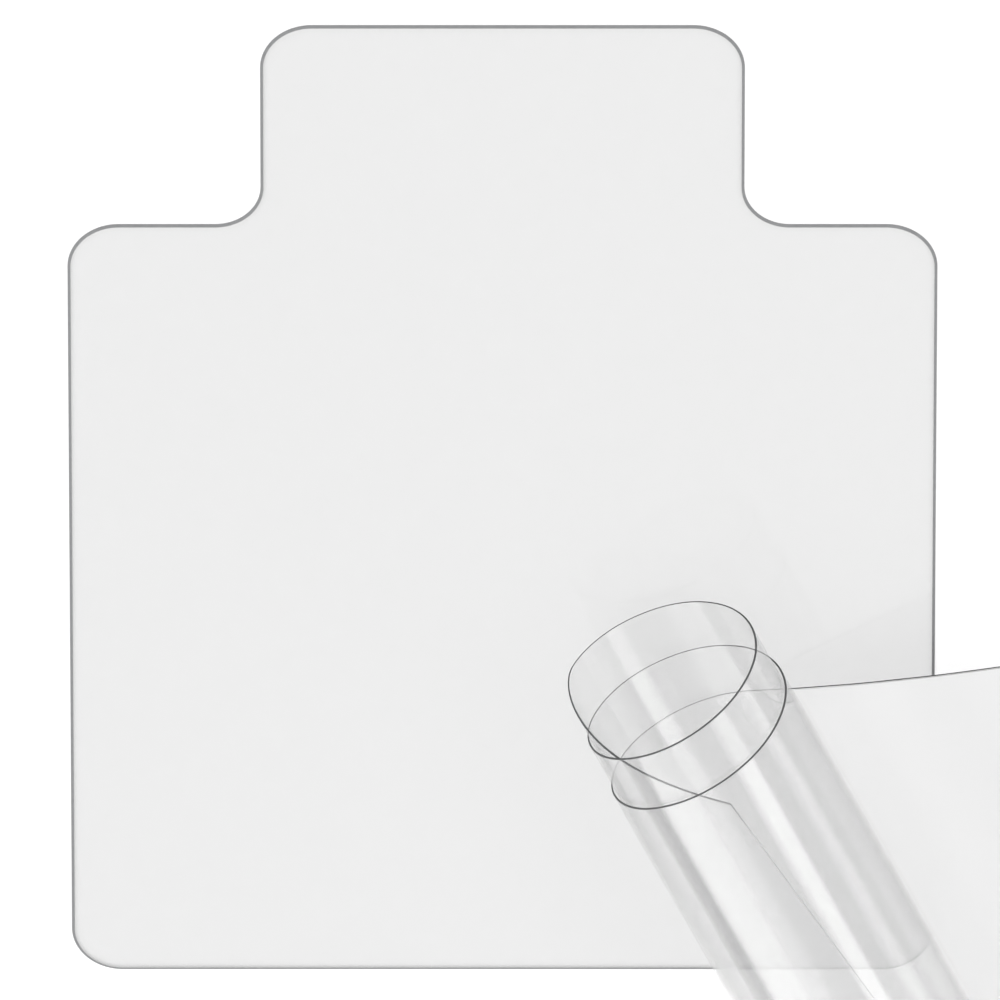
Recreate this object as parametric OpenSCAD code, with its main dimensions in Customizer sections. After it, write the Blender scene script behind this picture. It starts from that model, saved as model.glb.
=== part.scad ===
// Clear desk chair mat with a lip, and a second clear mat lying part-rolled on its front right corner.
// Millimetres. +Z is up, the lip points to +Y, and the origin is the middle of the flat mat's underside.

/* [Flat mat] */
// Width of the mat across its shoulders
mat_width = 914.4; // [760:0.1:1300]
// Length of the mat from its front edge to the end of its lip
mat_length = 1219.2; // [900:0.1:1700]
// Width of the lip that reaches under the desk
lip_width = 508; // [300:0.5:640]
// How far the lip stands out beyond the shoulders
lip_depth = 254; // [150:0.5:400]
// Radius of the outer corners
corner_radius = 54; // [20:0.5:90]
// Radius of the hollow corners where the lip meets the shoulders
hollow_radius = 48; // [20:0.5:90]

/* [Sheet] */
// Thickness of the clear sheet
sheet_thickness = 2; // [1.5:0.1:3]
// Height of the upright edge under the bevel
edge_height = 0.6; // [0.3:0.1:1.2]
// Width of the bevel along the edge of the top face
bevel_width = 3; // [1:0.1:6]

/* [Rolled mat] */
// Width of the rolled mat, which is about the length of the roll
rolled_width = 914.4; // [600:0.1:1200]
// Length of the rolled mat when it lies flat
rolled_length = 2100; // [1500:1:2400]
// Length of the outer end that is left unrolled
tail_length = 380; // [150:1:600]
// Slope at which the unrolled end leaves the roll
tail_lift = 21; // [12:0.5:40]
// Radius to which the unrolled end sags
tail_sag_radius = 2000; // [1500:10:6000]
// Radius of the innermost turn, at the middle of the sheet
inner_radius = 101; // [80:0.5:140]
// Free space between one turn and the next
turn_gap = 2; // [1:0.1:5]
// Angle by which the mat was rolled askew, so that its turns step out at the end
skew_angle = 5.7; // [0:0.1:8]
// How far the cut-back corner of the inner end reaches along the edge
cut_corner_length = 200; // [60:1:300]
// How far the cut-back corner of the inner end reaches across the sheet
cut_corner_depth = 165; // [60:1:250]

/* [Place of the roll] */
// Sideways place of the middle of the roll's open end
mouth_x = 152; // [50:1:250]
// Lengthways place of the middle of the roll's open end
mouth_y = -101; // [-200:1:0]
// Direction in which the roll lies, from its open end
roll_direction = -65; // [-90:0.5:-40]
// Room between the roll and the mat that it lies on
rest_clearance = 0.3; // [0.1:0.1:1]

/* [Smoothness] */
// Spaces between lines drawn round each turn
steps_per_turn = 40; // [24:1:60]
// Strips across the width of the rolled mat
strips_across = 6; // [3:1:12]
// Lines drawn round each rounded corner of the rolled mat
steps_per_corner = 6; // [3:1:10]

/* [Hidden] */

$fn = 96;
cut_overshoot = 1;
clear_vinyl = [0.90, 0.91, 0.92, 0.55];

body_length = mat_length - lip_depth;
shoulder_y = mat_length / 2 - lip_depth;
lip_root = 2 * corner_radius;

// The curve of the cut-back corner: 1 is a straight cut, and more sweeps inwards
cut_corner_power = 1.6;
turn_pitch = sheet_thickness + turn_gap;
wound_run = (rolled_length - tail_length) * cos(skew_angle);
roll_turn = turned_by(wound_run);
outer_radius = inner_radius + turn_pitch * roll_turn / 360;
start_angle = 270 + tail_lift - roll_turn;
lowest_radius = outer_radius - turn_pitch * tail_lift / 360;
roll_height = sheet_thickness + rest_clearance + lowest_radius + sheet_thickness / 2;
sag_centre = (outer_radius + tail_sag_radius) * [sin(tail_lift), -cos(tail_lift)];

// The flat mat: straight bars and quarter corners that share one bevelled edge

module bevelled_bar(width, length) {
    half = width / 2;
    rotate([90, 0, 0])
        linear_extrude(length, center = true)
            polygon([
                [-half, 0],
                [half, 0],
                [half, edge_height],
                [half - bevel_width, sheet_thickness],
                [bevel_width - half, sheet_thickness],
                [-half, edge_height]
            ]);
}

module bevelled_corner(radius) {
    rotate_extrude(angle = 90)
        polygon([
            [0, 0],
            [radius, 0],
            [radius, edge_height],
            [radius - bevel_width, sheet_thickness],
            [0, sheet_thickness]
        ]);
}

module bevelled_plate(width, length, radius) {
    bevelled_bar(width, length - 2 * radius);
    rotate(90) bevelled_bar(length, width - 2 * radius);
    for (quarter = [0:3]) {
        x_side = quarter == 0 || quarter == 3 ? 1 : -1;
        y_side = quarter < 2 ? 1 : -1;
        translate([x_side * (width / 2 - radius), y_side * (length / 2 - radius), 0])
            rotate(90 * quarter) bevelled_corner(radius);
    }
}

// Fills the inner corner of the lip and the shoulder, from the corner's point towards +X and +Y
module hollow_corner(radius) {
    wide = radius + bevel_width;
    difference() {
        translate([-bevel_width, -bevel_width, 0]) cube([wide, wide, sheet_thickness]);
        translate([radius, radius, 0])
            rotate_extrude()
                polygon([
                    [0, -cut_overshoot],
                    [radius, -cut_overshoot],
                    [radius, edge_height],
                    [wide, sheet_thickness],
                    [wide, sheet_thickness + cut_overshoot],
                    [0, sheet_thickness + cut_overshoot]
                ]);
    }
}

module flat_mat() {
    color(clear_vinyl) {
        translate([0, -lip_depth / 2, 0])
            bevelled_plate(mat_width, body_length, corner_radius);
        translate([0, shoulder_y + (lip_depth - lip_root) / 2, 0])
            bevelled_plate(lip_width, lip_depth + lip_root, corner_radius);
        for (side = [0, 1])
            mirror([side, 0, 0])
                translate([lip_width / 2, shoulder_y, 0]) hollow_corner(hollow_radius);
    }
}

// The rolled mat: a flat sheet laid askew on a spiral that runs out into a lifted, sagging tail

// Angle that the spiral has turned through after a run of sheet
function turned_by(run) =
    (sqrt(inner_radius * inner_radius + turn_pitch * run / PI) - inner_radius) * 360 / turn_pitch;

// Place across the roll and upwards, seen along its axis, of a run of sheet. Out is the distance
// from the middle of the sheet's thickness towards its bevelled face, which faces out of the roll.
function across_roll(run, out) =
    run <= wound_run
        ? let (turn = turned_by(run), radius = inner_radius + turn_pitch * turn / 360 + out)
            radius * [cos(start_angle + turn), sin(start_angle + turn)]
        : let (
            slope = tail_lift - (run - wound_run) / tail_sag_radius * 180 / PI,
            radius = tail_sag_radius - out
        )
            sag_centre + radius * [-sin(slope), cos(slope)];

// A point of the sheet, given by its place along and across the flat sheet
function on_roll(along, across, out) =
    let (
        run = along * cos(skew_angle) - across * sin(skew_angle),
        depth = along * sin(skew_angle) + across * cos(skew_angle),
        place = across_roll(run, out)
    )
    [depth, place[0], place[1]];

// How far a rounded corner draws the long edge in, at a distance from the end of the sheet
function rounded(from_end) =
    from_end >= corner_radius
        ? 0
        : corner_radius - sqrt(corner_radius ^ 2 - (corner_radius - from_end) ^ 2);

function near_edge(along) =
    max(
        along < cut_corner_length ? cut_corner_depth * (1 - along / cut_corner_length) ^ cut_corner_power : 0,
        rounded(rolled_length - along)
    );

function far_edge(along) = rolled_width - rounded(min(along, rolled_length - along));

// Places along the sheet of the lines drawn across it, closer together at the rounded corners
end_lines = [
    for (i = [0:steps_per_corner]) corner_radius * (1 - cos(90 * i / steps_per_corner))
];
line_count = ceil((rolled_length - 2 * corner_radius) / (2 * PI * inner_radius / steps_per_turn));
lines_along = concat(
    end_lines,
    [
        for (i = [1:line_count - 1])
            corner_radius + (rolled_length - 2 * corner_radius) * i / line_count
    ],
    [for (i = [steps_per_corner:-1:0]) rolled_length - end_lines[i]]
);

// One face of the sheet as rows of points, drawn in from the outline by an inset
function face_rows(out, inset) = [
    for (line = lines_along)
        let (
            along = min(max(line, inset), rolled_length - inset),
            near = near_edge(along) + inset,
            far = far_edge(along) - inset
        )
        [for (j = [0:strips_across]) on_roll(along, near + (far - near) * j / strips_across, out)]
];

// Least space between the turns, measured on points of the spiral a turn or so apart
function spiral_points() = [for (line = lines_along) if (line <= wound_run) across_roll(line, 0)];

function least_gap(points) =
    min([
        for (i = [0:len(points) - 1])
            for (j = [i + round(steps_per_turn / 2):1:len(points) - 1])
                norm(points[i] - points[j])
    ]) - sheet_thickness;

module rolled_sheet() {
    row_count = len(lines_along);
    row_size = strips_across + 1;
    last_row = row_count - 1;

    // Numbers, within a face, of the points round its outline
    outline = concat(
        [for (i = [0:last_row]) i * row_size],
        [for (j = [1:strips_across]) last_row * row_size + j],
        [for (i = [last_row - 1:-1:0]) i * row_size + strips_across],
        [for (j = [strips_across - 1:-1:1]) j]
    );
    plain_face = [for (row = face_rows(-sheet_thickness / 2, 0)) each row];
    edge_rows = [for (row = face_rows(edge_height - sheet_thickness / 2, 0)) each row];
    edge_line = [for (place = outline) edge_rows[place]];
    bevelled_face = [for (row = face_rows(sheet_thickness / 2, bevel_width)) each row];

    edge_start = len(plain_face);
    bevelled_start = edge_start + len(edge_line);
    outline_size = len(outline);
    cells = [
        for (i = [0:last_row - 1])
            for (j = [0:strips_across - 1])
                i * row_size + j
    ];

    polyhedron(
        points = concat(plain_face, edge_line, bevelled_face),
        faces = concat(
            [for (c = cells) each [[c, c + 1, c + row_size], [c + 1, c + row_size + 1, c + row_size]]],
            [
                for (c = cells)
                    let (b = c + bevelled_start)
                    each [[b, b + row_size, b + 1], [b + 1, b + row_size, b + row_size + 1]]
            ],
            [
                for (i = [0:outline_size - 1])
                    let (
                        next = (i + 1) % outline_size,
                        low = outline[i],
                        low_next = outline[next],
                        mid = edge_start + i,
                        mid_next = edge_start + next,
                        high = bevelled_start + outline[i],
                        high_next = bevelled_start + outline[next]
                    )
                    each [
                        [low, low_next, mid],
                        [low_next, mid_next, mid],
                        [mid, mid_next, high],
                        [mid_next, high_next, high]
                    ]
            ]
        )
    );
}

module rolled_mat() {
    echo(least_gap_between_turns = least_gap(spiral_points()));
    color(clear_vinyl)
        translate([mouth_x, mouth_y, roll_height]) rotate(roll_direction) rolled_sheet();
}

flat_mat();
rolled_mat();
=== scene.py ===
"""Looks of a clear lipped chair mat and a second clear mat that lies part-rolled on its front corner.

Metres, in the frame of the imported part: +Z is up, the lip points to +Y, and the origin is the middle of
the flat mat's underside.
"""

import math

import bmesh
import bpy
from bpy.props import FloatProperty, FloatVectorProperty, PointerProperty
from mathutils import Matrix, Vector


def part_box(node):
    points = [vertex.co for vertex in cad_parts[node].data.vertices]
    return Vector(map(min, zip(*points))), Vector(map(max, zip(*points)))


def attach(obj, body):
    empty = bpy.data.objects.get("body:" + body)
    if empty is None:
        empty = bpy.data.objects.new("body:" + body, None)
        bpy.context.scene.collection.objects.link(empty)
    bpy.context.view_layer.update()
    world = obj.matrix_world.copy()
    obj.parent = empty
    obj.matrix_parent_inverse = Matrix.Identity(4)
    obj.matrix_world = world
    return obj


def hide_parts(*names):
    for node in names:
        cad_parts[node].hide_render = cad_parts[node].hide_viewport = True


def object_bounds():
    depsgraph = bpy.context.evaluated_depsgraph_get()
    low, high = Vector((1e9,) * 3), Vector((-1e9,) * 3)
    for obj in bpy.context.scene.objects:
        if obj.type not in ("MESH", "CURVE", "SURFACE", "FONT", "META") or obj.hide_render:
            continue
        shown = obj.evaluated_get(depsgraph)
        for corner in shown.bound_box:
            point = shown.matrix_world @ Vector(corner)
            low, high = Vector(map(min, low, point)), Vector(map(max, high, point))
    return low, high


bl_info = {
    "name": "Clear chair mat",
    "version": (1, 0, 0),
    "blender": (4, 5, 0),
    "location": "3D View > Sidebar > Chair mat",
    "description": "Builds a clear lipped chair mat and a part-rolled clear mat",
    "category": "Object",
}

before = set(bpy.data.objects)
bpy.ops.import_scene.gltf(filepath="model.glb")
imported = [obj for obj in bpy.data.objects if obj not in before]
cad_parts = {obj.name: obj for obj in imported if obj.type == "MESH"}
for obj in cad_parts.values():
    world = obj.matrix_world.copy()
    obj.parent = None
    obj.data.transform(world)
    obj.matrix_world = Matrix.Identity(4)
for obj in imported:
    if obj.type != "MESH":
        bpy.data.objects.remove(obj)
CAD_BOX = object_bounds()
FLAT_LOW, FLAT_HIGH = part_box("flat_mat")

MM = 0.001
SHARP_ANGLE = math.radians(20)
FLAT_MAP = "flat_sheet"


def hex_colour(code):
    """Linear colour of an sRGB hex value such as 8e8f90."""
    parts = [int(code[i : i + 2], 16) / 255 for i in (0, 2, 4)]
    linear = [p / 12.92 if p <= 0.04045 else ((p + 0.055) / 1.055) ** 2.4 for p in parts]
    return (*linear, 1.0)


WHITE = hex_colour("ffffff")


class FlatMatSizes(bpy.types.PropertyGroup):
    """Sizes of the flat mat"""

    width: FloatProperty(
        name="Width",
        description="Width of the mat across its shoulders",
        default=FLAT_HIGH.x - FLAT_LOW.x,
        unit="LENGTH",
    )
    length: FloatProperty(
        name="Length",
        description="Length from the front edge to the end of the lip",
        default=FLAT_HIGH.y - FLAT_LOW.y,
        unit="LENGTH",
    )
    lip_width: FloatProperty(
        name="Lip width",
        description="Width of the lip that reaches under the desk",
        default=0.508,
        unit="LENGTH",
    )
    lip_depth: FloatProperty(
        name="Lip depth",
        description="How far the lip stands out beyond the shoulders",
        default=0.254,
        unit="LENGTH",
    )
    corner_radius: FloatProperty(
        name="Corner radius",
        description="Radius of the outer corners of both mats",
        default=0.054,
        unit="LENGTH",
    )
    hollow_radius: FloatProperty(
        name="Hollow radius",
        description="Radius of the hollow corners where the lip meets the shoulders",
        default=0.048,
        unit="LENGTH",
    )
    thickness: FloatProperty(
        name="Thickness",
        description="Thickness of the clear sheet of both mats",
        default=FLAT_HIGH.z - FLAT_LOW.z,
        unit="LENGTH",
    )
    edge_height: FloatProperty(
        name="Edge height",
        description="Height of the upright edge under the bevel",
        default=0.0006,
        unit="LENGTH",
    )
    bevel_width: FloatProperty(
        name="Bevel width",
        description="Width of the bevel along the edge of the top face",
        default=0.003,
        unit="LENGTH",
    )
    tint: FloatVectorProperty(
        name="Tint",
        description="Share of each colour that one face of the sheet lets through",
        default=hex_colour("f4f4f4"),
        size=4,
        subtype="COLOR",
    )
    # The cut edge's grey is painted shade, for the light that the clear edge doesn't send back
    edge_grey: FloatVectorProperty(
        name="Edge grey",
        description="Colour of the cut and bevelled edge",
        default=hex_colour("8e8f90"),
        size=4,
        subtype="COLOR",
    )


class RolledMatSizes(bpy.types.PropertyGroup):
    """Sizes and place of the rolled mat"""

    width: FloatProperty(
        name="Width",
        description="Width of the rolled mat, which is about the length of the roll",
        default=0.9144,
        unit="LENGTH",
    )
    length: FloatProperty(
        name="Length",
        description="Length of the rolled mat when it lies flat",
        default=2.1,
        unit="LENGTH",
    )
    tail_length: FloatProperty(
        name="Tail length",
        description="Length of the outer end that is left unrolled",
        default=0.38,
        unit="LENGTH",
    )
    tail_lift: FloatProperty(
        name="Tail lift",
        description="Slope at which the unrolled end leaves the roll",
        default=math.radians(21),
        unit="ROTATION",
    )
    tail_sag_radius: FloatProperty(
        name="Tail sag radius",
        description="Radius to which the unrolled end sags",
        default=2.0,
        unit="LENGTH",
    )
    inner_radius: FloatProperty(
        name="Inner radius",
        description="Radius of the innermost turn, at the middle of the sheet",
        default=0.101,
        unit="LENGTH",
    )
    turn_gap: FloatProperty(
        name="Turn gap",
        description="Free space between one turn and the next",
        default=0.002,
        unit="LENGTH",
    )
    skew: FloatProperty(
        name="Skew",
        description="Angle by which the mat was rolled askew, so that its turns step out at the end",
        default=math.radians(5.7),
        unit="ROTATION",
    )
    edge_height: FloatProperty(
        name="Edge height",
        description="Height of the square-cut edge beside its narrow bevel",
        default=0.0016,
        unit="LENGTH",
    )
    bevel_width: FloatProperty(
        name="Bevel width",
        description="Width of the narrow bevel along the edge of the outer face",
        default=0.001,
        unit="LENGTH",
    )
    cut_corner_length: FloatProperty(
        name="Cut corner length",
        description="How far the cut-back corner of the inner end reaches along the edge",
        default=0.2,
        unit="LENGTH",
    )
    cut_corner_depth: FloatProperty(
        name="Cut corner depth",
        description="How far the cut-back corner of the inner end reaches across the sheet",
        default=0.165,
        unit="LENGTH",
    )
    mouth: FloatVectorProperty(
        name="Mouth",
        description="Place on the floor under the middle of the roll's open end",
        default=(0.152, -0.101),
        size=2,
        unit="LENGTH",
    )
    direction: FloatProperty(
        name="Direction",
        description="Direction in which the roll lies, from its open end",
        default=math.radians(-65),
        unit="ROTATION",
    )
    rest_clearance: FloatProperty(
        name="Rest clearance",
        description="Room between the roll and the mat that it lies on",
        default=0.0003,
        unit="LENGTH",
    )
    ripple: FloatProperty(
        name="Ripple",
        description="Height of the faint waves that handling leaves in the rolled sheet",
        default=0.0002,
        unit="LENGTH",
    )
    tint: FloatVectorProperty(
        name="Tint",
        description="Share of each colour that one face of the wound sheet lets through",
        default=hex_colour("fdfdfd"),
        size=4,
        subtype="COLOR",
    )
    # Partly the vinyl's tint and partly painted shade that darkens the far end of the tail
    tail_tint_and_shade: FloatVectorProperty(
        name="Tail tint",
        description="Share of each colour that one face of the unrolled end lets through",
        default=hex_colour("e7e7e7"),
        size=4,
        subtype="COLOR",
    )
    shade: FloatVectorProperty(
        name="Shade",
        description="Share of each colour that one face leaves of the light that falls past it as shadow",
        default=hex_colour("fefefe"),
        size=4,
        subtype="COLOR",
    )
    # The cut edge's grey is painted shade, for the light that the clear edge doesn't send back
    edge_grey: FloatVectorProperty(
        name="Edge grey",
        description="Colour of the cut edge at the top of the roll",
        default=hex_colour("626364"),
        size=4,
        subtype="COLOR",
    )
    # Painted shade: the cut edge is darker low in the roll and round the tail, where less light reaches it
    low_edge_shaded_grey: FloatVectorProperty(
        name="Low edge grey",
        description="Colour of the cut edge low in the roll and round its tail",
        default=hex_colour("484949"),
        size=4,
        subtype="COLOR",
    )
    inner_edge_grey: FloatVectorProperty(
        name="Inner edge grey",
        description="Colour of the cut edge of the inner end, deep in the roll",
        default=hex_colour("d0d1d2"),
        size=4,
        subtype="COLOR",
    )


class StageSettings(bpy.types.PropertyGroup):
    """Camera, floor and studio light"""

    view_width: FloatProperty(
        name="View width",
        description="Width of the picture, measured at the mat",
        default=1.055,
        unit="LENGTH",
    )
    view_elevation: FloatProperty(
        name="View elevation",
        description="Height of the camera above the horizon",
        default=math.radians(54.74),
        unit="ROTATION",
    )
    view_distance: FloatProperty(
        name="View distance",
        description="Distance of the camera, far enough for its lens to show straight sides as parallel",
        default=46.6,
        unit="LENGTH",
    )
    aim: FloatVectorProperty(
        name="Aim",
        description="Point in the middle of the picture",
        default=(-0.0026, 0.0013, 0.0009),
        size=3,
        subtype="TRANSLATION",
    )
    floor_side: FloatProperty(
        name="Floor side",
        description="Side of the square floor",
        default=400.0,
        unit="LENGTH",
    )


def add_node(tree, kind, inputs=(), **settings):
    """Adds a node, sets its own settings, and sets or links its inputs."""
    node = tree.nodes.new(kind)
    for name, value in settings.items():
        setattr(node, name, value)
    for name, value in dict(inputs).items():
        if isinstance(value, bpy.types.NodeSocket):
            tree.links.new(value, node.inputs[name])
        else:
            node.inputs[name].default_value = value
    return node


def new_material(name):
    """An empty node material."""
    material = bpy.data.materials.new(name)
    material.use_nodes = True
    material.node_tree.nodes.clear()
    return material


# Share of the light that a face of each sheet mirrors straight on, and how much more it mirrors at a slant
FLAT_MIRROR = 0.03
ROLLED_MIRROR = 0.08
SLANT_MIRROR = 0.3

# Roughness of the gloss where it is clean and smudged, and how much more it has where the sheet is matt
CLEAN_ROUGHNESS = 0.02
SMUDGED_ROUGHNESS = 0.07
MATT_ROUGHNESS = 0.5

# Sizes of the smudges, dimples and clouds in the vinyl, and the depth of the dimples
SMUDGE_SIZE = 45 * MM
DIMPLE_SIZE = 14 * MM
DIMPLE_DEPTH = 0.003 * MM
CLOUD_SIZE = 180 * MM

# Share of the light that haze scatters: least and most in the flat mat, then in the roll's turns and tail
FLAT_HAZE_LEAST = 0.05
FLAT_HAZE_MOST = 0.07
WOUND_HAZE = 0.043
TAIL_HAZE = 0.85

# Distances out from the roll between which its tail turns milky, and at which it has all of its tint and
# painted shade
MILKY_START = 35 * MM
MILKY_END = 60 * MM
TAIL_TINT_AND_SHADE_END = 240 * MM

# Distances in from the near edge of the tail between which it turns milky, past the bevel under it
RIM_START = 1 * MM
RIM_END = 2 * MM


def polish_vinyl(tree, mirror, tint, milky, shade, matt=None):
    """Extruded clear vinyl with polished faces: it passes most light, mirrors more at a slant, and has a
    little milky haze, so that stacked turns go from clear to grey and white. Its faces are faintly dimpled,
    and handling leaves smudges in their gloss. Its shade dims the light that falls past it as shadow."""
    place = add_node(tree, "ShaderNodeUVMap", uv_map=FLAT_MAP).outputs["UV"]
    smudges = add_node(
        tree, "ShaderNodeTexNoise", {"Vector": place, "Scale": 1 / SMUDGE_SIZE, "Detail": 4.0}
    ).outputs[0]
    rough = add_node(
        tree,
        "ShaderNodeMapRange",
        {"Value": smudges, "To Min": CLEAN_ROUGHNESS, "To Max": SMUDGED_ROUGHNESS},
    ).outputs[0]
    if matt is not None:
        rough = add_node(
            tree, "ShaderNodeMath", {0: matt, 1: MATT_ROUGHNESS, 2: rough}, operation="MULTIPLY_ADD"
        ).outputs[0]
    peel = add_node(
        tree, "ShaderNodeTexNoise", {"Vector": place, "Scale": 1 / DIMPLE_SIZE, "Detail": 1.0}
    ).outputs[0]
    dimples = add_node(
        tree, "ShaderNodeBump", {"Strength": 1.0, "Distance": DIMPLE_DEPTH, "Height": peel}
    ).outputs[0]
    facing = add_node(tree, "ShaderNodeLayerWeight", {"Blend": 0.5}).outputs["Facing"]
    fifth = add_node(tree, "ShaderNodeMath", {0: facing, 1: 5.0}, operation="POWER").outputs[0]
    mirrored = add_node(
        tree, "ShaderNodeMath", {0: fifth, 1: SLANT_MIRROR, 2: mirror}, operation="MULTIPLY_ADD"
    ).outputs[0]
    clear = add_node(tree, "ShaderNodeBsdfTransparent", {"Color": tint}).outputs[0]
    haze = add_node(tree, "ShaderNodeBsdfDiffuse", {"Color": tint}).outputs[0]
    body = add_node(tree, "ShaderNodeMixShader", {"Fac": milky, 1: clear, 2: haze}).outputs[0]
    gloss = add_node(tree, "ShaderNodeBsdfGlossy", {"Roughness": rough, "Normal": dimples}).outputs[0]
    sheen = add_node(tree, "ShaderNodeMixShader", {"Fac": mirrored, 1: body, 2: gloss}).outputs[0]
    lamp_ray = add_node(tree, "ShaderNodeLightPath").outputs["Is Shadow Ray"]
    passed = add_node(tree, "ShaderNodeBsdfTransparent", {"Color": shade}).outputs[0]
    surface = add_node(tree, "ShaderNodeMixShader", {"Fac": lamp_ray, 1: sheen, 2: passed}).outputs[0]
    add_node(tree, "ShaderNodeOutputMaterial", {"Surface": surface})


def flat_vinyl(sizes):
    """Clear vinyl of the flat mat, slightly smoky and faintly clouded."""
    material = new_material("clear_vinyl_flat")
    tree = material.node_tree
    place = add_node(tree, "ShaderNodeUVMap", uv_map=FLAT_MAP).outputs["UV"]
    clouds = add_node(tree, "ShaderNodeTexNoise", {"Vector": place, "Scale": 1 / CLOUD_SIZE}).outputs[0]
    milky = add_node(
        tree,
        "ShaderNodeMapRange",
        {"Value": clouds, "To Min": FLAT_HAZE_LEAST, "To Max": FLAT_HAZE_MOST},
    ).outputs[0]
    polish_vinyl(tree, FLAT_MIRROR, sizes.tint, milky, sizes.tint)
    return material


def rolled_vinyl(sizes):
    """Clear vinyl of the rolled mat. Its turns are clear, and so is its tail close to the roll. Further out
    the tail is milky and matt, so that nothing shows through it, and a little greyer towards its end. Its
    whitest tint next to the roll and the greyer one at its end are partly the vinyl's tint and partly
    painted light and shade, which even out the roll's shadow on the tail."""
    material = new_material("clear_vinyl_rolled")
    tree = material.node_tree
    place = add_node(tree, "ShaderNodeUVMap", uv_map=FLAT_MAP).outputs["UV"]
    across = add_node(tree, "ShaderNodeSeparateXYZ", {0: place}).outputs["Y"]
    run = add_node(
        tree,
        "ShaderNodeVectorMath",
        {0: place, 1: (math.cos(sizes.skew), -math.sin(sizes.skew), 0)},
        operation="DOT_PRODUCT",
    ).outputs["Value"]
    tail = (sizes.length - sizes.tail_length) * math.cos(sizes.skew)
    past_root, past_rim, far_out = (
        add_node(
            tree,
            "ShaderNodeMapRange",
            {"Value": value, "From Min": start, "From Max": end},
            interpolation_type="SMOOTHSTEP",
        ).outputs[0]
        for value, start, end in (
            (run, tail + MILKY_START, tail + MILKY_END),
            (across, RIM_START, RIM_END),
            (run, tail + MILKY_END, tail + TAIL_TINT_AND_SHADE_END),
        )
    )
    on_tail = add_node(tree, "ShaderNodeMath", {0: past_root, 1: past_rim}, operation="MULTIPLY").outputs[0]
    milky = add_node(
        tree, "ShaderNodeMath", {0: on_tail, 1: TAIL_HAZE, 2: WOUND_HAZE}, operation="MULTIPLY_ADD"
    ).outputs[0]
    tint = sizes.tint
    # The tint turns white near the roll and greyer far out: painted light and shade that even out the
    # roll's shadow on the tail
    for share, further in ((on_tail, WHITE), (far_out, sizes.tail_tint_and_shade)):
        tint = add_node(
            tree, "ShaderNodeMix", {0: share, 6: tint, 7: further}, data_type="RGBA"
        ).outputs[2]
    polish_vinyl(tree, ROLLED_MIRROR, tint, milky, sizes.shade, on_tail)
    return material


# Length of the knife's marks in a cut edge, and their depth
KNIFE_MARK_SIZE = 7 * MM
KNIFE_MARK_DEPTH = 0.1 * MM

# Heights in the roll between which its cut edge goes from the grey of the top to the darker grey of the
# painted shade low down
TOP_GREY_HEIGHT = 160 * MM
LOW_GREY_HEIGHT = 50 * MM

# How far ahead of the tail the painted shade starts to darken its cut edge
TAIL_GREY_LEAD = 50 * MM

# Distances from the inner end between which its cut edge turns pale, and how far past its cut-back corner
PALE_EDGE_START = 12 * MM
PALE_EDGE_END = 6 * MM
PALE_EDGE_LEAD = 50 * MM


def cut_edge(tree, grey):
    """Cut and bevelled edge of clear vinyl: light that is trapped in the sheet doesn't come back to the eye
    there, so the edge is painted a plain grey as painted shade, a little uneven from the knife."""
    place = add_node(tree, "ShaderNodeUVMap", uv_map=FLAT_MAP).outputs["UV"]
    marks = add_node(
        tree, "ShaderNodeTexNoise", {"Vector": place, "Scale": 1 / KNIFE_MARK_SIZE, "Detail": 3.0}
    ).outputs[0]
    uneven = add_node(
        tree, "ShaderNodeMapRange", {"Value": marks, "To Min": 0.85, "To Max": 1.15}
    ).outputs[0]
    scored = add_node(
        tree, "ShaderNodeBump", {"Strength": 0.5, "Distance": KNIFE_MARK_DEPTH, "Height": marks}
    ).outputs[0]
    colour = add_node(tree, "ShaderNodeHueSaturation", {"Color": grey, "Value": uneven}).outputs[0]
    edge = add_node(
        tree,
        "ShaderNodeBsdfPrincipled",
        {"Base Color": colour, "Roughness": 0.4, "Specular IOR Level": 0.2, "Normal": scored},
    ).outputs[0]
    add_node(tree, "ShaderNodeOutputMaterial", {"Surface": edge})


def flat_cut_edge(sizes):
    """Cut edge of the flat mat, of one grey all round."""
    material = new_material("clear_vinyl_flat_cut_edge")
    cut_edge(material.node_tree, sizes.edge_grey)
    return material


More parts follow.
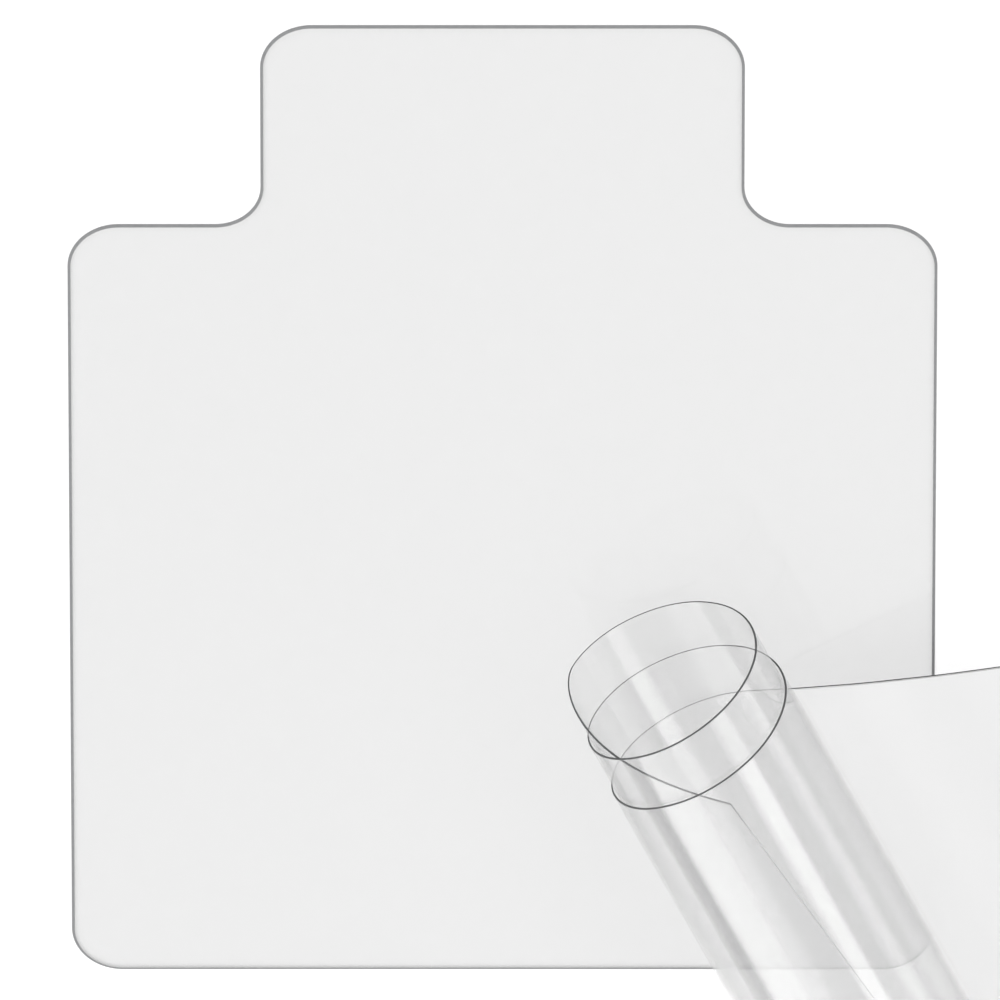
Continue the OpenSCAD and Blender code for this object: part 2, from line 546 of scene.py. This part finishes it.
def rolled_cut_edge(sizes):
    """Cut edge of the rolled mat: grey at the top of the roll, and palest at the inner end. Low in the roll
    and round the tail, where less light gets into the sheet, it is darker with painted shade."""
    material = new_material("clear_vinyl_rolled_cut_edge")
    tree = material.node_tree
    place = add_node(tree, "ShaderNodeUVMap", uv_map=FLAT_MAP).outputs["UV"]
    parts = add_node(tree, "ShaderNodeSeparateXYZ", {0: place}).outputs
    room = add_node(tree, "ShaderNodeTexCoord").outputs["Object"]
    height = add_node(tree, "ShaderNodeSeparateXYZ", {0: room}).outputs["Z"]
    tail = sizes.length - sizes.tail_length
    corner = sizes.cut_corner_depth
    low, on_tail, at_end, past_corner = (
        add_node(
            tree,
            "ShaderNodeMapRange",
            {"Value": value, "From Min": start, "From Max": end},
            interpolation_type="SMOOTHSTEP",
        ).outputs[0]
        for value, start, end in (
            (height, TOP_GREY_HEIGHT, LOW_GREY_HEIGHT),
            (parts["X"], tail - TAIL_GREY_LEAD, tail),
            (parts["X"], PALE_EDGE_START, PALE_EDGE_END),
            (parts["Y"], corner, corner + PALE_EDGE_LEAD),
        )
    )
    # Share of painted shade, which darkens the edge low in the roll and round the tail
    dark = add_node(tree, "ShaderNodeMath", {0: low, 1: on_tail}, operation="MAXIMUM").outputs[0]
    inner = add_node(tree, "ShaderNodeMath", {0: at_end, 1: past_corner}, operation="MULTIPLY").outputs[0]
    grey = sizes.edge_grey
    for share, other in ((dark, sizes.low_edge_shaded_grey), (inner, sizes.inner_edge_grey)):
        grey = add_node(tree, "ShaderNodeMix", {0: share, 6: grey, 7: other}, data_type="RGBA").outputs[2]
    cut_edge(tree, grey)
    return material


# Spaces between lines round each corner of the flat mat, of the rolled mat, and of its cut-back corner
FLAT_CORNER_STEPS = 24
ROLLED_CORNER_STEPS = 16
CUT_CORNER_STEPS = 20

# The curve of the cut-back corner: 1 is a straight cut, and more sweeps inwards
CUT_CORNER_POWER = 1.6

# Widths of the strips that the sheets are cut into, so that the rolled one bends smoothly
FLAT_STRIP = 100 * MM
STRIP_ALONG_ROLL = 20 * MM
STRIP_ROUND_ROLL = 4.5 * MM

# A face is part of the sheet's top or underside if it is this near level
LEVEL_FACE = 0.99

# How near a point may be to a cut and count as on it, and how near to count as beyond it
CUT_TOLERANCE = 1e-7
BEYOND_TOLERANCE = 1e-6

# Lengths of the faint waves in the rolled sheet, round the roll and along it
SHORT_WAVE_ROUND = 83 * MM
SHORT_WAVE_ALONG = 410 * MM
LONG_WAVE_ROUND = 147 * MM
LONG_WAVE_ALONG = 290 * MM


def rounded_plate(bm, corners, steps):
    """Makes one flat face from (x, y, radius) corners, and rounds each corner by its radius."""
    points = [bm.verts.new((x, y, 0)) for x, y, _ in corners]
    bm.faces.new(points)
    for radius in sorted({r for _, _, r in corners if r > 0}):
        bmesh.ops.bevel(
            bm,
            geom=[p for p, (_, _, r) in zip(points, corners) if r == radius],
            offset=radius,
            offset_type="OFFSET",
            affect="VERTICES",
            segments=steps,
            profile=0.5,
            material=-1,
        )


def thicken(bm, thickness, edge_height, bevel_width):
    """Turns the flat face into a sheet with an upright edge and a bevel round its top, in material 1."""
    raised = bmesh.ops.extrude_face_region(bm, geom=bm.faces[:])["geom"]
    top = [g for g in raised if isinstance(g, bmesh.types.BMFace)]
    bmesh.ops.translate(
        bm, verts=[g for g in raised if isinstance(g, bmesh.types.BMVert)], vec=(0, 0, edge_height)
    )
    bmesh.ops.recalc_face_normals(bm, faces=bm.faces[:])
    bmesh.ops.inset_region(
        bm,
        faces=top,
        thickness=bevel_width,
        depth=thickness - edge_height,
        use_boundary=True,
        use_even_offset=True,
    )
    for face in bm.faces:
        face.material_index = 0 if abs(face.normal.z) > LEVEL_FACE else 1


def lies_beyond(part, direction, place):
    """True if a vertex, edge or face reaches beyond a place along a direction."""
    points = [part] if isinstance(part, bmesh.types.BMVert) else part.verts
    return any(p.co.dot(direction) >= place for p in points)


def cut_into_strips(bm, direction, step):
    """Cuts the mesh across a direction at even steps, each time only what lies beyond the last cut."""
    reach = [v.co.dot(direction) for v in bm.verts]
    count = math.ceil((max(reach) - min(reach)) / step)
    ahead = bm.verts[:] + bm.edges[:] + bm.faces[:]
    for i in range(1, count):
        place = min(reach) + (max(reach) - min(reach)) * i / count
        cut = bmesh.ops.bisect_plane(
            bm, geom=ahead, dist=CUT_TOLERANCE, plane_co=direction * place, plane_no=direction
        )
        ahead = [g for g in cut["geom"] if lies_beyond(g, direction, place - BEYOND_TOLERANCE)]


def map_flat(bm):
    """Keeps each point's place on the flat sheet, in metres, as the sheet's own map."""
    flat = bm.loops.layers.uv.new(FLAT_MAP)
    for face in bm.faces:
        for loop in face.loops:
            loop[flat].uv = loop.vert.co.xy


def finish_piece(bm, name, materials, body, node):
    """Makes the finished piece, smooth but for its sharp edges, with its materials, puts it on its body and
    hides the part that it replaces.
    """
    bmesh.ops.recalc_face_normals(bm, faces=bm.faces[:])
    for face in bm.faces:
        face.smooth = True
    for edge in bm.edges:
        edge.smooth = edge.calc_face_angle(0) < SHARP_ANGLE
    mesh = bpy.data.meshes.new(name)
    bm.to_mesh(mesh)
    bm.free()
    for material in materials:
        mesh.materials.append(material)
    piece = bpy.data.objects.new(name, mesh)
    bpy.context.scene.collection.objects.link(piece)
    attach(piece, body)
    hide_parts(node)
    return piece


class ChairMatFlat(bpy.types.Operator):
    """Builds the flat mat with its lip, rounded corners and bevelled edge"""

    bl_idname = "chair_mat.flat_mat"
    bl_label = "Flat mat"

    def execute(self, context):
        sizes = context.scene.flat_mat_sizes
        side, end, lip = sizes.width / 2, sizes.length / 2, sizes.lip_width / 2
        shoulder = end - sizes.lip_depth
        outer, hollow = sizes.corner_radius, sizes.hollow_radius
        right = [
            (side, -end, outer),
            (side, shoulder, outer),
            (lip, shoulder, hollow),
            (lip, end, outer),
        ]
        bm = bmesh.new()
        rounded_plate(bm, right + [(-x, y, r) for x, y, r in reversed(right)], FLAT_CORNER_STEPS)
        thicken(bm, sizes.thickness, sizes.edge_height, sizes.bevel_width)
        cut_into_strips(bm, Vector((1, 0, 0)), FLAT_STRIP)
        cut_into_strips(bm, Vector((0, 1, 0)), FLAT_STRIP)
        map_flat(bm)
        materials = [flat_vinyl(sizes), flat_cut_edge(sizes)]
        piece = finish_piece(bm, "flat_mat_sheet", materials, "flat_mat", "flat_mat")
        return {"FINISHED"}


class Roll:
    """The spiral that the rolled sheet follows, worked out from its sizes."""

    def __init__(self, sizes, thickness):
        self.sizes = sizes
        self.thickness = thickness
        self.pitch = thickness + sizes.turn_gap
        self.wound_run = (sizes.length - sizes.tail_length) * math.cos(sizes.skew)
        whole_turn = self.turned(self.wound_run)
        lift = sizes.tail_lift
        self.start = math.radians(270) + lift - whole_turn
        self.sag_centre = (self.radius(whole_turn) + sizes.tail_sag_radius) * Vector(
            (math.sin(lift), -math.cos(lift))
        )
        lowest_radius = self.radius(whole_turn - lift)
        self.height = thickness + sizes.rest_clearance + lowest_radius + thickness / 2
        self.place = Matrix.Translation((*sizes.mouth, self.height)) @ Matrix.Rotation(
            sizes.direction, 4, "Z"
        )

    def turned(self, run):
        """Angle that the spiral has turned through after a run of sheet."""
        inner = self.sizes.inner_radius
        grown = math.sqrt(max(inner**2 + self.pitch * run / math.pi, 0))
        return (grown - inner) * 2 * math.pi / self.pitch

    def radius(self, turn):
        """Radius of the spiral at an angle."""
        return self.sizes.inner_radius + self.pitch * turn / (2 * math.pi)

    def rolled(self, point):
        """Where a point of the flat sheet comes to lie: x along the sheet, y across it, z up."""
        sizes = self.sizes
        run = point.x * math.cos(sizes.skew) - point.y * math.sin(sizes.skew)
        depth = point.x * math.sin(sizes.skew) + point.y * math.cos(sizes.skew)
        out = point.z - self.thickness / 2 + self.ripple(run, depth)
        if run <= self.wound_run:
            turn = self.turned(run)
            reach = self.radius(turn) + out
            across, up = reach * math.cos(self.start + turn), reach * math.sin(self.start + turn)
        else:
            slope = sizes.tail_lift - (run - self.wound_run) / sizes.tail_sag_radius
            reach = sizes.tail_sag_radius - out
            across, up = self.sag_centre + reach * Vector((-math.sin(slope), math.cos(slope)))
        return self.place @ Vector((depth, across, up))

    def ripple(self, run, depth):
        """Faint waves of two lengths, round the roll and along it."""
        short_wave = math.sin(2 * math.pi * (run / SHORT_WAVE_ROUND + depth / SHORT_WAVE_ALONG))
        long_wave = math.sin(2 * math.pi * (run / LONG_WAVE_ROUND - depth / LONG_WAVE_ALONG))
        return self.sizes.ripple * (short_wave + long_wave) / 2


class ChairMatRolled(bpy.types.Operator):
    """Builds the second mat as a flat sheet and rolls it up askew, with its outer end left free"""

    bl_idname = "chair_mat.rolled_mat"
    bl_label = "Rolled mat"

    def execute(self, context):
        sizes = context.scene.rolled_mat_sizes
        sheet = context.scene.flat_mat_sizes
        roll = Roll(sizes, sheet.thickness)
        shares = [i / CUT_CORNER_STEPS for i in range(CUT_CORNER_STEPS + 1)]
        swept = [
            (sizes.cut_corner_length * s, sizes.cut_corner_depth * (1 - s) ** CUT_CORNER_POWER, 0)
            for s in shares
        ]
        outer = sheet.corner_radius
        rounded = [
            (sizes.length, 0, outer),
            (sizes.length, sizes.width, outer),
            (0, sizes.width, outer),
        ]
        bm = bmesh.new()
        rounded_plate(bm, swept + rounded, ROLLED_CORNER_STEPS)
        thicken(bm, sheet.thickness, sizes.edge_height, sizes.bevel_width)
        along_axis = Vector((math.sin(sizes.skew), math.cos(sizes.skew), 0))
        round_roll = Vector((math.cos(sizes.skew), -math.sin(sizes.skew), 0))
        cut_into_strips(bm, along_axis, STRIP_ALONG_ROLL)
        cut_into_strips(bm, round_roll, STRIP_ROUND_ROLL)
        map_flat(bm)
        for vert in bm.verts:
            vert.co = roll.rolled(vert.co)
        materials = [rolled_vinyl(sizes), rolled_cut_edge(sizes)]
        piece = finish_piece(bm, "rolled_mat_sheet", materials, "rolled_mat", "rolled_mat")
        return {"FINISHED"}


# The floor's own grey, how much its glow lifts it to white in view, and its room under the mat
FLOOR_GREY = hex_colour("cbcbcb")
FLOOR_LIFT = 0.5
FLOOR_ROOM = 0.5 * MM


def studio_floor():
    """Matt pale floor that keeps shadows and comes out white where it is lit."""
    material = new_material("studio_floor_matt_white")
    tree = material.node_tree
    rays = add_node(tree, "ShaderNodeLightPath").outputs
    seen = add_node(
        tree, "ShaderNodeMath", {0: rays["Is Camera Ray"], 1: rays["Is Glossy Ray"]}, operation="MAXIMUM"
    ).outputs[0]
    seen = add_node(
        tree, "ShaderNodeMath", {0: seen, 1: rays["Is Transmission Ray"]}, operation="MAXIMUM"
    ).outputs[0]
    lift = add_node(tree, "ShaderNodeMath", {0: seen, 1: FLOOR_LIFT}, operation="MULTIPLY").outputs[0]
    matt = add_node(tree, "ShaderNodeBsdfDiffuse", {"Color": FLOOR_GREY}).outputs[0]
    glow = add_node(tree, "ShaderNodeEmission", {"Color": WHITE, "Strength": lift}).outputs[0]
    surface = add_node(tree, "ShaderNodeAddShader", {0: matt, 1: glow}).outputs[0]
    add_node(tree, "ShaderNodeOutputMaterial", {"Surface": surface})
    return material


# Brightness of the studio round the roll's axis, by the angle from overhead towards the roll's right side:
# two long soft boxes with a dimmer ceiling between them, a dark room low down on the left, and on the right
# a dark gap below the soft box over a paler room
STUDIO_BANDS = (
    (-180, 0.6),
    (-104, 0.6),
    (-90, 0.25),
    (-72, 0.12),
    (-69, 0.2),
    (-63, 1.7),
    (-28, 1.7),
    (-23, 1.55),
    (-19, 1.05),
    (-12, 0.85),
    (10, 0.75),
    (30, 0.72),
    (36, 1.5),
    (41, 2.05),
    (53, 2.05),
    (58, 0.6),
    (64, 0.4),
    (76, 0.45),
    (84, 0.9),
    (90, 1.0),
    (100, 1.0),
    (180, 0.6),
)


def studio_light(world, direction):
    """Lights the stage with bands of soft light parallel to the roll, before a white background."""
    world.use_nodes = True
    tree = world.node_tree
    tree.nodes.clear()
    towards = add_node(tree, "ShaderNodeTexCoord").outputs["Generated"]
    turned = add_node(
        tree,
        "ShaderNodeVectorRotate",
        {"Vector": towards, "Angle": -direction},
        rotation_type="Z_AXIS",
    ).outputs[0]
    parts = add_node(tree, "ShaderNodeSeparateXYZ", {0: turned}).outputs
    angle = add_node(
        tree, "ShaderNodeMath", {0: parts["Y"], 1: parts["Z"]}, operation="ARCTAN2"
    ).outputs[0]
    share = add_node(
        tree,
        "ShaderNodeMapRange",
        {"Value": angle, "From Min": -math.pi, "From Max": math.pi},
    ).outputs[0]
    brightest = max(b for _, b in STUDIO_BANDS)
    bands = add_node(tree, "ShaderNodeValToRGB", {"Fac": share})
    stops = bands.color_ramp.elements
    while len(stops) < len(STUDIO_BANDS):
        stops.new(0.5)
    for stop, (degrees, brightness) in zip(stops, STUDIO_BANDS):
        stop.position = (degrees + 180) / 360
        level = brightness / brightest
        stop.color = (level, level, level, 1)
    glow = add_node(
        tree, "ShaderNodeBackground", {"Color": bands.outputs["Color"], "Strength": brightest}
    ).outputs[0]
    white = add_node(tree, "ShaderNodeBackground", {"Color": WHITE, "Strength": 1.0}).outputs[0]
    seen = add_node(tree, "ShaderNodeLightPath").outputs["Is Camera Ray"]
    surface = add_node(tree, "ShaderNodeMixShader", {"Fac": seen, 1: glow, 2: white}).outputs[0]
    add_node(tree, "ShaderNodeOutputWorld", {"Surface": surface})


class ChairMatStage(bpy.types.Operator):
    """Sets up the camera, the white floor and the studio light"""

    bl_idname = "chair_mat.stage"
    bl_label = "Stage"

    def execute(self, context):
        scene = context.scene
        stage = scene.stage_settings
        self.add_camera(scene, stage)
        self.add_floor(scene, stage)
        world = bpy.data.worlds.new("studio")
        scene.world = world
        studio_light(world, scene.rolled_mat_sizes.direction)
        scene.view_settings.view_transform = "Standard"
        # Light meets many faces on its way through the stacked turns
        scene.cycles.max_bounces = 48
        scene.cycles.glossy_bounces = 8
        scene.cycles.diffuse_bounces = 16
        scene.cycles.transparent_max_bounces = 64
        return {"FINISHED"}

    def add_camera(self, scene, stage):
        """A long lens over the lip's side of the mat, turned so that the lip is at the picture's top."""
        data = bpy.data.cameras.new("camera")
        data.lens = data.sensor_width * stage.view_distance / stage.view_width
        data.clip_end = 2 * stage.view_distance
        camera = bpy.data.objects.new("camera", data)
        scene.collection.objects.link(camera)
        rise, level = math.sin(stage.view_elevation), math.cos(stage.view_elevation)
        back = Vector((0, level, rise))
        up = Vector((0, rise, -level))
        turn = Matrix((Vector((1, 0, 0)), up, back)).transposed()
        spot = Vector(stage.aim) + back * stage.view_distance
        camera.matrix_world = Matrix.Translation(spot) @ turn.to_4x4()
        scene.camera = camera

    def add_floor(self, scene, stage):
        """A wide floor just under the mat."""
        bm = bmesh.new()
        bmesh.ops.create_grid(bm, x_segments=1, y_segments=1, size=stage.floor_side / 2)
        bmesh.ops.translate(bm, verts=bm.verts[:], vec=(0, 0, CAD_BOX[0].z - FLOOR_ROOM))
        mesh = bpy.data.meshes.new("studio_floor")
        bm.to_mesh(mesh)
        bm.free()
        mesh.materials.append(studio_floor())
        floor = bpy.data.objects.new("studio_floor", mesh)
        scene.collection.objects.link(floor)


class ChairMatPanel(bpy.types.Panel):
    """Lists the pieces and their sizes in the sidebar"""

    bl_idname = "VIEW3D_PT_chair_mat"
    bl_label = "Chair mat"
    bl_space_type = "VIEW_3D"
    bl_region_type = "UI"
    bl_category = "Chair mat"

    def draw(self, context):
        for group, operator in (
            ("stage_settings", ChairMatStage),
            ("flat_mat_sizes", ChairMatFlat),
            ("rolled_mat_sizes", ChairMatRolled),
        ):
            box = self.layout.box()
            box.operator(operator.bl_idname)
            sizes = getattr(context.scene, group)
            for name in sizes.bl_rna.properties.keys():
                if name not in ("rna_type", "name"):
                    box.prop(sizes, name)


GROUPS = {
    "flat_mat_sizes": FlatMatSizes,
    "rolled_mat_sizes": RolledMatSizes,
    "stage_settings": StageSettings,
}
CLASSES = (*GROUPS.values(), ChairMatStage, ChairMatFlat, ChairMatRolled, ChairMatPanel)


def register():
    for cls in CLASSES:
        bpy.utils.register_class(cls)
    for name, group in GROUPS.items():
        setattr(bpy.types.Scene, name, PointerProperty(type=group))


def unregister():
    for name in GROUPS:
        delattr(bpy.types.Scene, name)
    for cls in reversed(CLASSES):
        bpy.utils.unregister_class(cls)


def main():
    register()
    bpy.ops.chair_mat.stage()
    bpy.ops.chair_mat.flat_mat()
    bpy.ops.chair_mat.rolled_mat()


if __name__ == "__main__":
    main()
